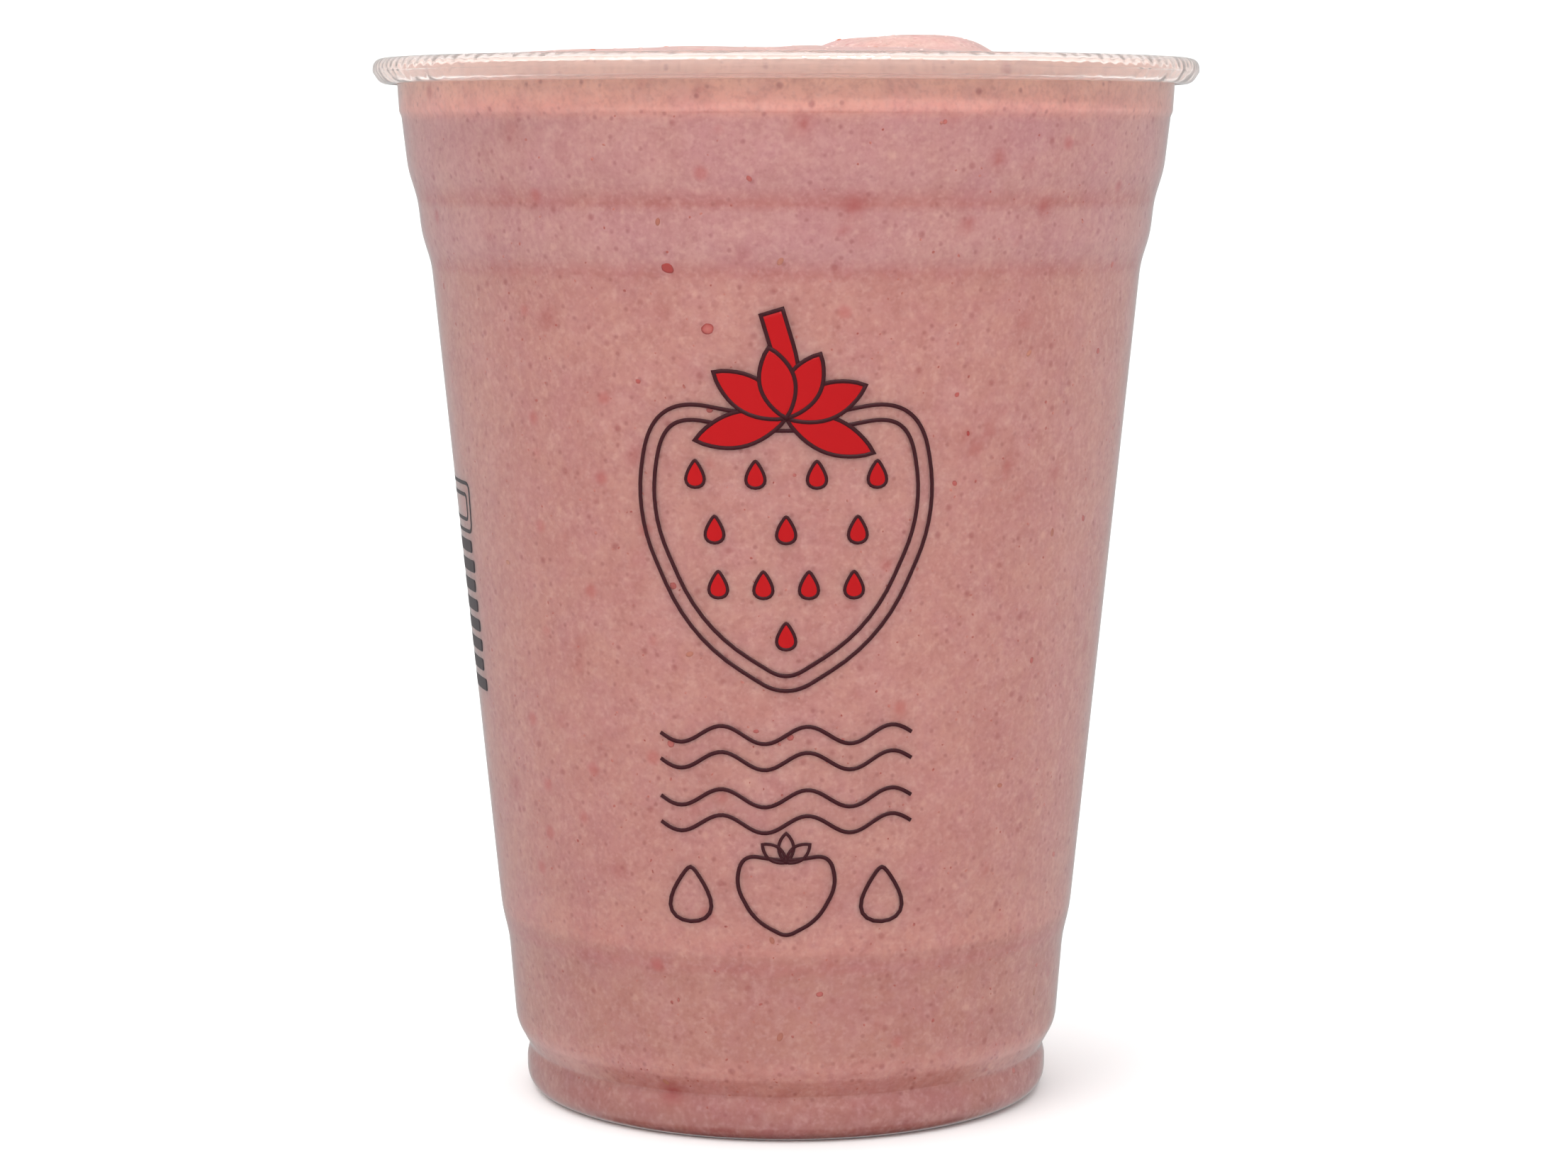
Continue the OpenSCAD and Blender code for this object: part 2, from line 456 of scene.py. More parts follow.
def wall_tones_and_painted_light():
    """Colour of the drink against the wall at each height: a plain tone behind each stretch
    of the wall, a dark line of painted shade where a step draws in and a pale one of painted
    highlight where a corner stands out, painted shade behind the foot and painted light at the
    lip and behind the roll. The heights follow from the cup's own."""
    groove = FOOT_H + GROOVE_H
    shoulder = groove + SHOULDER_H
    band = shoulder + LOWER_BAND_H
    ring = band + RING_H
    lip = CUP_H - ROLL_H - LIP_H
    middle = lip - LIP_IN * 2 - UPPER_BAND_H - STEP_H
    low = middle - MIDDLE_BAND_H - STEP_H
    return [
        (0.0, FOOT_SHADE_TONE), (groove - 0.6, FOOT_SHADE_TONE), (groove + 0.2, CORNER_HIGHLIGHT_TONE),
        (shoulder - 1.2, CORNER_HIGHLIGHT_TONE), (shoulder - 0.8, SHOULDER_HIGHLIGHT_TONE),
        (shoulder + 0.3, CORNER_HIGHLIGHT_TONE), (shoulder + 2.0, LOWER_TONE), (band + 0.8, LOWER_TONE),
        ((band + ring) / 2 + 0.3, STEP_SHADE_TONE), (ring - 0.3, LOWER_TONE),
        (ring + 0.5, CORNER_HIGHLIGHT_TONE), (ring + 5.6, MIDDLE_TONE), (low - 0.9, MIDDLE_TONE),
        (low, STEP_SHADE_TONE), (low + 1.7, UPPER_TONE), (middle - 0.9, UPPER_TONE),
        (middle + 0.1, STEP_SHADE_TONE), (middle + 2.1, UPPER_TONE), (lip - 1.2, UPPER_TONE),
        (lip + 0.2, LIP_PAINTED_LIGHT_TONE), (CUP_H - ROLL_H, ROLL_PAINTED_LIGHT_TONE),
        (CUP_H, ROLL_PAINTED_LIGHT_TONE),
    ]


def wall_material():
    """The drink against the wall: thick, pink and dull, its tone changing with height, with the
    painted shade, highlight and light of the height ramp; the blush value marks soft red
    places."""
    material, output = new_material("smoothie_wall")
    tree = material.node_tree
    place = add_node(tree, "ShaderNodeTexCoord").outputs["Object"]
    height = add_node(tree, "ShaderNodeSeparateXYZ", {0: place}).outputs["Z"]
    share = spread(tree, height, 0.0, CUP_H * MM, smooth=False)
    ramp = add_node(tree, "ShaderNodeValToRGB", {0: share})
    elements = ramp.color_ramp.elements
    tones = wall_tones_and_painted_light()
    while len(elements) < len(tones):
        elements.new(0.5)
    for element, (at, tint) in zip(elements, tones):
        element.position = at / CUP_H
        element.color = linear(*tint)
    colour = fruity(tree, place, ramp.outputs["Color"])
    blush = add_node(tree, "ShaderNodeAttribute", attribute_name="blush").outputs["Fac"]
    colour = blended(tree, math_node(tree, "MULTIPLY", blush, BLUSH_STRENGTH), colour,
                     linear(180, 72, 74))
    shader = add_node(tree, "ShaderNodeBsdfPrincipled",
                      {"Base Color": colour, "Roughness": 1.0, "Specular IOR Level": 0.0})
    tree.links.new(shader.outputs[0], output.inputs["Surface"])
    return material


def top_material():
    """The drink's open top: paler and wet, with fine pores left by burst bubbles."""
    material, output = new_material("smoothie_top")
    tree = material.node_tree
    place = add_node(tree, "ShaderNodeTexCoord").outputs["Object"]
    base = add_node(tree, "ShaderNodeRGB")
    base.outputs[0].default_value = linear(*TOP_TONE)
    colour = fruity(tree, place, base.outputs[0])
    pores = specks(tree, place, 900, 0.1, 0.35, 0.6, 6.1)
    swell = noise(tree, place, 320, 3.0, 0.55, 7.3)
    sunk = math_node(tree, "MULTIPLY", pores, -0.5)
    relief = math_node(tree, "ADD", sunk, swell)
    bump = add_node(tree, "ShaderNodeBump",
                    {"Height": relief, "Strength": 0.5, "Distance": 0.0004})
    shader = add_node(tree, "ShaderNodeBsdfPrincipled",
                      {"Base Color": colour, "Roughness": 0.34, "IOR": 1.35,
                       "Normal": bump.outputs[0]})
    tree.links.new(shader.outputs[0], output.inputs["Surface"])
    return material


def clear_material():
    """Clear formed plastic, smooth, with the slight swell of a thin drawn sheet."""
    material, output = new_material("clear_plastic")
    tree = material.node_tree
    place = add_node(tree, "ShaderNodeTexCoord").outputs["Object"]
    swell = noise(tree, place, 70, 2.0, 0.5)
    bump = add_node(tree, "ShaderNodeBump",
                    {"Height": swell, "Strength": 0.3, "Distance": 0.0006})
    shader = add_node(tree, "ShaderNodeBsdfPrincipled",
                      {"Base Color": (0.955, 0.95, 0.945, 1), "Roughness": 0.05,
                       "IOR": 1.575, "Transmission Weight": 1.0, "Normal": bump.outputs[0]})
    tree.links.new(shader.outputs[0], output.inputs["Surface"])
    return material


# Number of faint flutes round the roll, their share of the relief, and the depths under its
# top at which they end and start
FLUTES = 156
FLUTE_DEPTH = 0.12
FLUTE_END = 1.3
FLUTE_START = 0.7


def roll_material():
    """The rolled rim: the same plastic, hazier where it was heated, warmed by the drink that
    wets it, with faint flutes sin(n angle) on its top."""
    material, output = new_material("rim_plastic")
    tree = material.node_tree
    place = add_node(tree, "ShaderNodeTexCoord").outputs["Object"]
    parts = add_node(tree, "ShaderNodeSeparateXYZ", {0: place})
    angle = math_node(tree, "ARCTAN2", parts.outputs["X"], parts.outputs["Y"])
    flute = math_node(tree, "SINE", math_node(tree, "MULTIPLY", angle, FLUTES), 0.0)
    on_crest = spread(tree, parts.outputs["Z"], (CREST_Z - FLUTE_END) * MM,
                      (CREST_Z - FLUTE_START) * MM)
    flute = math_node(tree, "MULTIPLY", flute, on_crest)
    ripple = noise(tree, place, 330, 1.0, 0.5, 2.2)
    relief = math_node(tree, "ADD", math_node(tree, "MULTIPLY", flute, FLUTE_DEPTH), ripple)
    bump = add_node(tree, "ShaderNodeBump",
                    {"Height": relief, "Strength": 0.3, "Distance": 0.0006})
    haze = spread(tree, noise(tree, place, 160, 3.0, 0.6, 5.1), 0.3, 0.7, 0.03, 0.1)
    shader = add_node(tree, "ShaderNodeBsdfPrincipled",
                      {"Base Color": (1.0, 0.89, 0.845, 1), "Roughness": haze,
                       "IOR": 1.48, "Transmission Weight": 0.88, "Normal": bump.outputs[0]})
    tree.links.new(shader.outputs[0], output.inputs["Surface"])
    return material


def plain_material(name, colour, roughness, gloss=0.5):
    """One colour all over."""
    material, output = new_material(name)
    tree = material.node_tree
    shader = add_node(tree, "ShaderNodeBsdfPrincipled",
                      {"Base Color": colour, "Roughness": roughness,
                       "Specular IOR Level": gloss})
    tree.links.new(shader.outputs[0], output.inputs["Surface"])
    return material


def fruit_material(name, dark, light, roughness, coat=0.0, gloss=0.0):
    """Fruit, seeds or froth: between two colours by the tone value of each grain."""
    material, output = new_material(name)
    tree = material.node_tree
    tone = add_node(tree, "ShaderNodeAttribute", attribute_name="tone").outputs["Fac"]
    colour = blended(tree, tone, dark, light)
    shader = add_node(tree, "ShaderNodeBsdfPrincipled",
                      {"Base Color": colour, "Roughness": roughness, "Coat Weight": coat,
                       "Specular IOR Level": gloss})
    tree.links.new(shader.outputs[0], output.inputs["Surface"])
    return material


# ---------------------------------------------------------------- cup and drink

corners = cup_corners()
crest = np.array([[MOUTH_R - HALF + ROLL_W / 2, CREST_Z, 0]])
roll_start = len(corners) - 4
bowl_line = rounded(np.concatenate([corners[:roll_start], crest]))
roll_line = rounded(np.concatenate([crest, corners[roll_start:]]))
sheet_line = np.concatenate([bowl_line, roll_line[1:]])
outer_line = beside(bowl_line, -HALF)


def wall_radius(height):
    """Radius of the cup's outer face at a height over the foot's rounded corner."""
    rising = outer_line[:, 1] > FOOT_ROUND
    upright = outer_line[rising & (outer_line[:, 0] < MOUTH_R + 0.01)]
    return np.interp(height, upright[:, 1], upright[:, 0])


def cup_shape():
    """The sheet's line moved half its thickness to each side, turned right round."""
    under = beside(sheet_line, -HALF)
    over = beside(sheet_line, HALF)[::-1]
    line = evened(np.concatenate([under, over]), 3.0)
    angles = spokes_of(CUP_SPOKES)
    rings = turned(line[1:-1, :1], angles[None, :], line[1:-1, 1:])
    first = [0, 0, line[0, 1]]
    last = [0, 0, line[-1, 1]]
    return lathe(rings, first, last)


def uneven(x, y):
    """Fine unevenness, between about -1 and 1: the mean of waves in set directions, each
    sin(x cos d / w + y sin d / w + phase) with its own wavelength w."""
    count = 14
    waves = np.random.default_rng(SEED + 1)
    direction = waves.uniform(0, 2 * math.pi, count)
    wavelength = waves.uniform(0.6, 2.6, count)
    phase = waves.uniform(0, 2 * math.pi, count)
    total = 0
    for d, w, p in zip(direction, wavelength, phase):
        total = total + np.sin((x * math.cos(d) + y * math.sin(d)) / w + p)
    return total / math.sqrt(count)


def surface_height(x, y, contact):
    """Height of the drink's top: a crown that rolls down to the cup and leans a little, a
    lump with a lower shelf on its left, and ripples that wind round the axis.

    crown = h (1 - s^3) - lean x (1 - s^4), with s the radius over the contact radius; the
    lump is h (0.74 + 0.16 u) exp(-(u^2 + v^2)^4), with u and v the distances from its middle
    over its half sizes, and it dies away at the edge."""
    radius = np.hypot(x, y)
    s = np.minimum(radius / contact, 1)
    u = 2 * (x - LUMP_X) / LUMP_W
    v = 2 * (y - LUMP_Y) / LUMP_D
    warp = 0.05 * uneven(x * 0.35, y * 0.35)
    lump = np.exp(-(((u + warp) ** 2 + (v - warp) ** 2) ** 4))
    slope = 0.74 + 0.16 * np.clip(u, -1, 1)
    lump = LUMP_H * slope * lump
    wind = RIPPLE_ARMS * np.arctan2(y, x) + np.radians(RIPPLE_WIND) * radius
    ripple = RIPPLE_H * s * (1 - s ** 4) * np.sin(wind)
    fine = 0.09 * (1 - s ** 8) * uneven(x, y)
    crown = CROWN_H * (1 - s ** 3) - TOP_LEAN * x * (1 - s ** 4)
    return FILL_Z + crown + lump * (1 - s ** 10) + ripple + fine


def drink_lines():
    """The drink's line along the cup, from the centre of the base up to where the top
    meets the wall."""
    line = beside(bowl_line, HALF - SUNK)
    past = np.argmax((line[:, 1] > FILL_Z) & (line[:, 0] > FOOT_R))
    a, b = line[past - 1], line[past]
    meet = a + (b - a) * (FILL_Z - a[1]) / (b[1] - a[1])
    return evened(np.concatenate([line[:past], [meet]]), DRINK_STEP)


drink_line = drink_lines()
contact_r = drink_line[-1, 0]


def drink_shape():
    """The line along the wall turned right round, then rings that draw in to the axis at the
    top's own height."""
    angles = spokes_of(DRINK_SPOKES)
    wall = turned(drink_line[1:, :1], angles[None, :], drink_line[1:, 1:])
    shares = np.sin(np.linspace(math.pi / 2, 0, MOUND_RINGS + 1))[1:-1]
    top = turned(contact_r * shares[:, None], angles[None, :], 0.0)
    top[..., 2] = surface_height(top[..., 0], top[..., 1], contact_r)
    first = [0, 0, drink_line[0, 1]]
    last = [0, 0, float(surface_height(0.0, 0.0, contact_r))]
    return lathe(np.concatenate([wall, top]), first, last), len(wall) * DRINK_SPOKES


# Soft red places on the drink: angle from the front in degrees, height, and spread
BLUSHES = np.array([
    [2.3, 116.2, 1.0], [31.2, 112.5, 0.9], [9.8, 107.3, 1.1], [41.1, 107.1, 1.0],
    [27.3, 105.2, 0.8], [-24.7, 5.4, 1.4], [31.8, 80.3, 0.8], [34.1, 82.2, 0.7],
    [38.7, 78.2, 0.8], [49.9, 76.7, 0.8], [30.2, 82.0, 0.6], [8.0, 104.8, 0.6],
])
# How many more of them are placed at random
MORE_BLUSHES = 150


def blush_values(points):
    """How red each point is: the sum over the places of exp(-(distance / spread)^2)."""
    extra = np.stack([rng.uniform(-180, 180, MORE_BLUSHES),
                      rng.uniform(4, FILL_Z, MORE_BLUSHES),
                      rng.uniform(0.4, 1.1, MORE_BLUSHES)], axis=1)
    strength = np.concatenate([np.ones(len(BLUSHES)), rng.uniform(0.25, 0.7, MORE_BLUSHES)])
    spots = np.concatenate([BLUSHES, extra])
    centres = turned(wall_radius(spots[:, 1]), np.radians(spots[:, 0]), spots[:, 1])
    total = np.zeros(len(points))
    for centre, size, share in zip(centres, spots[:, 2], strength):
        away = np.sum((points - centre) ** 2, axis=1)
        total += share * np.exp(-away / size ** 2)
    return np.minimum(total, 1)


def add_drink():
    """The drink, with its own material for the faces of its open top."""
    shape, wall_points = drink_shape()
    drink = add_piece("smoothie_body", shape, wall_material(), "smoothie")
    drink.data.materials.append(top_material())
    points, quads, triangles = shape
    lowest = np.concatenate([quads.min(axis=1), triangles.min(axis=1)])
    on_open_top = lowest >= wall_points - DRINK_SPOKES
    drink.data.polygons.foreach_set("material_index", on_open_top.astype(np.int32))
    set_values(drink, "blush", blush_values(points))


def add_cup():
    """The cup, with its own material for the faces of the roll: those that lie outside the
    wall or at the very top."""
    shape = cup_shape()
    cup = add_piece("cup_wall", shape, clear_material(), "cup")
    cup.data.materials.append(roll_material())
    points, quads, triangles = shape
    points = np.asarray(points)
    radius = np.hypot(points[:, 0], points[:, 1])
    on_roll = (radius > MOUTH_R + 0.1) | (points[:, 2] > CREST_Z - 0.4)
    chosen = np.concatenate([on_roll[quads].all(axis=1), on_roll[triangles].all(axis=1)])
    cup.data.polygons.foreach_set("material_index", chosen.astype(np.int32))


add_cup()
add_drink()


# ---------------------------------------------------------------- grains on the drink

def grain_form(spokes, rings):
    """A ball of that many spokes and rings, of radius 1, with its poles on the Z axis."""
    rise = np.linspace(-math.pi / 2, math.pi / 2, rings + 2)[1:-1]
    angles = spokes_of(spokes)
    ball = turned(np.cos(rise)[:, None], angles[None, :], np.sin(rise)[:, None])
    return lathe(ball, [0, 0, -1], [0, 0, 1])


def scattered(form, centres, outward, sizes, twist, rough, random):
    """Copies of a form joined into one shape. Each copy is stretched by its three sizes,
    twisted about its own outward direction and set at its centre; each point's distance from
    the copy's middle is changed by up to the share rough."""
    points, quads, triangles = form
    count = len(centres)
    upright = np.where(np.abs(outward[:, 2:]) > 0.9, [[1.0, 0, 0]], [[0, 0, 1.0]])
    across = unit(np.cross(upright, outward))
    along = np.cross(outward, across)
    c, s = np.cos(twist)[:, None], np.sin(twist)[:, None]
    axes = np.stack([across * c + along * s, along * c - across * s, outward], axis=1)
    jitter = 1 + rough * random.uniform(-1, 1, (count, len(points), 1))
    local = points[None] * sizes[:, None, :] * jitter
    placed = centres[:, None, :] + np.einsum("npk,nkx->npx", local, axes)
    offsets = (np.arange(count) * len(points))[:, None, None]
    return (placed.reshape(-1, 3), (quads[None] + offsets).reshape(-1, 4),
            (triangles[None] + offsets).reshape(-1, 3))


def on_wall(height, angle):
    """Points on the drink where it meets the wall, and the directions out of it there."""
    rising = drink_line[:, 1] > FOOT_ROUND
    line = drink_line[rising & (drink_line[:, 0] > FOOT_R - 1)]
    radius = np.interp(height, line[:, 1], line[:, 0])
    slope = np.interp(height, line[1:, 1], np.diff(line[:, 0]) / np.diff(line[:, 1]))
    outward = turned(1.0, angle, 0.0)
    outward[:, 2] = -slope
    return turned(radius, angle, height), unit(outward)


def on_top(x, y):
    """Points on the drink's top and the directions out of it, from the height a small step
    away in x and in y."""
    step = 0.05
    z = surface_height(x, y, contact_r)
    dx = (surface_height(x + step, y, contact_r) - z) / step
    dy = (surface_height(x, y + step, contact_r) - z) / step
    outward = unit(np.stack([-dx, -dy, np.ones_like(dx)], axis=1))
    return np.stack([x, y, z], axis=1), outward


def toned(piece, form, tones):
    """Gives every point of each joined copy that copy's tone."""
    set_values(piece, "tone", np.repeat(tones, len(form[0])))


# How many flecks, bits and seeds there are, and the heights between which they lie
FLECK_COUNT = 1500
BIT_COUNT = 60
SEED_COUNT = 46
FOOT_CLEAR = FOOT_ROUND + 0.6
WALL_TOP = CUP_H - ROLL_H - LIP_H - 0.5


def add_flecks():
    """Small dark flecks of skin pressed against the wall."""
    random = np.random.default_rng(SEED + 2)
    height = random.uniform(FOOT_CLEAR, WALL_TOP, FLECK_COUNT)
    angle = random.uniform(-math.pi, math.pi, FLECK_COUNT)
    centres, outward = on_wall(height, angle)
    length = 0.1 + 0.22 * random.beta(1.4, 4.0, FLECK_COUNT)
    sizes = np.stack([length, length * random.uniform(0.5, 1.0, FLECK_COUNT),
                      np.full(FLECK_COUNT, 0.045)], axis=1)
    form = grain_form(7, 2)
    twist = random.uniform(0, math.pi, FLECK_COUNT)
    shape = scattered(form, centres, outward, sizes, twist, 0.25, random)
    material = fruit_material("fruit_skin", linear(192, 98, 90), linear(216, 142, 130), 0.8)
    piece = add_piece("fruit_flecks", shape, material)
    toned(piece, form, random.uniform(0, 1, FLECK_COUNT))


# Clear red pieces of fruit: angle from the front in degrees, height, and half size
RED_BITS = np.array([[-17.9, 100.6, 0.75], [-12.0, 93.9, 0.7], [30.2, 82.0, 0.3]])
# The row of this one, which is red only round its edge
RING_BIT = 1


def add_bits():
    """Red pieces of fruit, the set ones first, pressed against the wall."""
    random = np.random.default_rng(SEED + 3)
    height = np.concatenate([RED_BITS[:, 1], random.uniform(FOOT_CLEAR, WALL_TOP, BIT_COUNT)])
    angle = np.concatenate([np.radians(RED_BITS[:, 0]),
                            random.uniform(-math.pi, math.pi, BIT_COUNT)])
    length = np.concatenate([RED_BITS[:, 2], random.uniform(0.2, 0.45, BIT_COUNT)])
    count = len(length)
    centres, outward = on_wall(height, angle)
    sizes = np.stack([length, length * random.uniform(0.65, 1.0, count),
                      np.full(count, 0.06)], axis=1)
    form = grain_form(12, 3)
    twist = random.uniform(0, math.pi, count)
    shape = scattered(form, centres, outward, sizes, twist, 0.1, random)
    material = fruit_material("fruit_flesh", linear(186, 60, 54), linear(210, 122, 114), 0.6)
    piece = add_piece("fruit_bits", shape, material)
    tones = random.uniform(0.3, 1, count)
    tones[:len(RED_BITS)] = 0
    values = np.repeat(tones, len(form[0])).reshape(count, -1)
    values[RING_BIT] = form[0][:, 2] ** 2
    set_values(piece, "tone", values)


def add_froth():
    """Small pale bubbles: a broken row along the edge of the drink and more over its top."""
    random = np.random.default_rng(SEED + 4)
    edge_count = 130
    angle = spokes_of(edge_count) + random.uniform(-0.02, 0.02, edge_count)
    edge_r = contact_r - random.uniform(0.3, 0.75, edge_count)
    open_count = 420
    open_r = contact_r * np.sqrt(random.uniform(0.0, 0.96, open_count))
    open_angle = random.uniform(-math.pi, math.pi, open_count)
    radius = np.concatenate([edge_r, open_r])
    turn = np.concatenate([angle, open_angle])
    centres, outward = on_top(radius * np.sin(turn), -radius * np.cos(turn))
    size = np.concatenate([random.uniform(0.22, 0.42, edge_count),
                           0.1 + 0.25 * random.beta(1.2, 4.0, open_count)])
    height = np.concatenate([size[:edge_count] * 0.8, size[edge_count:] * 0.35])
    sizes = np.stack([size, size, height], axis=1)
    form = grain_form(8, 4)
    count = len(size)
    shape = scattered(form, centres, outward, sizes, np.zeros(count), 0.0, random)
    material = fruit_material("froth", linear(224, 170, 160), linear(246, 214, 206), 0.25,
                              coat=0.6, gloss=0.5)
    piece = add_piece("froth_bubbles", shape, material)
    toned(piece, form, random.uniform(0, 1, count))


def add_seeds():
    """Tan seeds lying in the top and against the wall."""
    random = np.random.default_rng(SEED + 5)
    top_count = 16
    wall_count = SEED_COUNT - top_count
    r = contact_r * np.sqrt(random.uniform(0.02, 0.85, top_count))
    a = random.uniform(-math.pi, math.pi, top_count)
    top_centres, top_out = on_top(r * np.sin(a), -r * np.cos(a))
    wall_centres, wall_out = on_wall(random.uniform(FOOT_CLEAR, WALL_TOP, wall_count),
                                     random.uniform(-math.pi, math.pi, wall_count))
    centres = np.concatenate([top_centres, wall_centres])
    outward = np.concatenate([top_out, wall_out])
    length = random.uniform(0.42, 0.55, SEED_COUNT)
    depth = np.concatenate([np.full(top_count, 0.14), np.full(wall_count, 0.08)])
    sizes = np.stack([length, length * 0.62, depth], axis=1)
    form = grain_form(10, 5)
    twist = random.uniform(0, math.pi, SEED_COUNT)
    shape = scattered(form, centres, outward, sizes, twist, 0.0, random)
    material = fruit_material("seed", linear(186, 108, 86), linear(208, 140, 114), 0.4,
                              gloss=0.3)
    piece = add_piece("strawberry_seeds", shape, material)
    toned(piece, form, random.uniform(0, 1, SEED_COUNT))


add_flecks()
add_bits()
add_froth()
add_seeds()


# ---------------------------------------------------------------- print on the wall

# Height of a field of ink and of a line over the wall, the height that each leaf lies over
# the one before it, and the depth that the ink reaches into the wall
FIELD_OUT = 0.006
LINE_OUT = 0.01
LAYER = 0.008
INK_IN = 0.03
# Largest distance between the points of a line and between the rings of a field, and width
# of a line
INK_STEP = 0.6
RING_STEP = 0.9
LINE_W = 0.45


def wrapped(line, out):
    """A flat drawing put round the cup: each point's distance across becomes an angle of
    that distance over the wall's radius at its height, and out lifts it off the wall."""
    radius = wall_radius(line[..., 1])
    return turned(radius + out, line[..., 0] / radius, line[..., 1])


def ink_line(line, width, loop, out=LINE_OUT):
    """A line of ink: four rows of points, at both edges of the line, over and under the
    wall's face, joined into a closed strip."""
    line = evened(np.concatenate([line, line[:1]]) if loop else line, INK_STEP)
    if loop:
        line = line[:-1]
    left = beside(line, width / 2, loop)
    right = beside(line, -width / 2, loop)
    rows = np.stack([wrapped(left, out), wrapped(left, -INK_IN),
                     wrapped(right, -INK_IN), wrapped(right, out)], axis=1)
    count = len(line)
    i = np.arange(count if loop else count - 1)[:, None]
    j = np.arange(4)[None, :]
    k = (j + 1) % 4
    n = (i + 1) % count
    quads = np.stack([i * 4 + j, i * 4 + k, n * 4 + k, n * 4 + j], axis=-1).reshape(-1, 4)
    if not loop:
        ends = np.array([[3, 2, 1, 0], [count * 4 - 4, count * 4 - 3, count * 4 - 2,
                                        count * 4 - 1]])
        quads = np.concatenate([quads, ends])
    return rows.reshape(-1, 3), quads[:, ::-1], np.zeros((0, 3), int)


def ink_patch(outline, out=FIELD_OUT):
    """A field of ink inside an outline: rings that shrink to its middle, over and under the
    wall's face, joined at the outline. They lie close enough to follow the round wall."""
    middle = outline.mean(axis=0)
    reach = np.linalg.norm(outline - middle, axis=1).max()
    shares = np.linspace(0, 1, max(4, math.ceil(reach / RING_STEP)) + 1)[1:]
    rings = middle + (outline - middle)[None] * shares[:, None, None]
    over = wrapped(rings[::-1], out)
    under = wrapped(rings, -INK_IN)
    first = wrapped(middle, -INK_IN)
    last = wrapped(middle, out)
    return lathe(np.concatenate([under, over]), first, last)


def joined(shapes):
    """Several shapes as one, the face numbers moved on past the points before them."""
    points = np.concatenate([shape[0] for shape in shapes])
    offsets = np.cumsum([0] + [len(shape[0]) for shape in shapes[:-1]])
    quads = np.concatenate([shape[1] + o for shape, o in zip(shapes, offsets)])
    triangles = np.concatenate([shape[2] + o for shape, o in zip(shapes, offsets)])
    return points, quads, triangles


def moved(line, across, up, size=1.0, turn=0.0):
    """A flat line made larger, turned in degrees and put in another place."""
    a = math.radians(turn)
    spin = np.array([[math.cos(a), math.sin(a)], [-math.sin(a), math.cos(a)]])
    return (line * size) @ spin + [across, up]


def leaf(length, width, points=14):
    """A pointed leaf from its foot at the origin up to its tip: its half width at the share
    t of its length is width / 2 times sin(pi t)^0.8."""
    t = np.linspace(0, 1, points)
    half = width / 2 * np.abs(np.sin(math.pi * t)) ** 0.8
    right = np.stack([half, t * length], axis=1)
    left = np.stack([-half, t * length], axis=1)[::-1]
    return np.concatenate([right, left[1:-1]])


# Share by which a drop's top is narrower than the circle it comes from
DROP_SQUEEZE = 0.55


def drop(length, width, points=22):
    """A seed's drop, point up: a circle stretched to the length and width, its points at
    (width / 2 sin a (1 - squeeze cos a), length / 2 cos a), so that its top is narrower."""
    a = np.linspace(0, 2 * math.pi, points, endpoint=False)
    across = width / 2 * np.sin(a) * (1 - DROP_SQUEEZE * np.cos(a))
    return np.stack([across, length / 2 * np.cos(a)], axis=1)[::-1]


def berry_corners(width, height):
    """Corners of a strawberry's outline, tip down, as rows of across, up and roundness."""
    w, h = width / 2, height
    return np.array([
        [0, 0, 0.1 * h], [w * 0.62, h * 0.2, 0.2 * h], [w, h * 0.62, 0.18 * h],
        [w * 0.86, h, 0.19 * h], [0, h * 0.92, 0.2 * h], [-w * 0.86, h, 0.19 * h],
        [-w, h * 0.62, 0.18 * h], [-w * 0.62, h * 0.2, 0.2 * h],
    ])


# The large strawberry: width, height, height of its tip and gap between its two outlines;
# and the width of its stem
BERRY_W = 35.0
BERRY_H = 34.0
BERRY_Z = 52.5
BERRY_EDGE = 1.7
STEM_W = 2.5
# Heights of the waves, and of the small strawberry's tip
WAVE_HEIGHTS = [48.3, 45.3, 41.0, 38.0]
SMALL_Z = 24.9
# Leaves of the crown, the ones underneath first: turn in degrees and length
LEAVES = [(-112, 10.5), (104, 10.5), (-68, 9.5), (58, 9.5), (-28, 8.0), (14, 8.0)]
# Rows of seeds: height, how many, and how far they reach to each side
SEED_ROWS = [(77.8, 4, 10.2), (71.6, 3, 8.0), (65.4, 4, 7.6), (59.6, 1, 0.0)]


def wave(left, right, up, rise, length):
    """A wavy line: up + rise sin(2 pi across / length)."""
    across = np.linspace(left, right, 60)
    return np.stack([across, up + rise * np.sin(2 * math.pi * across / length)], axis=1)


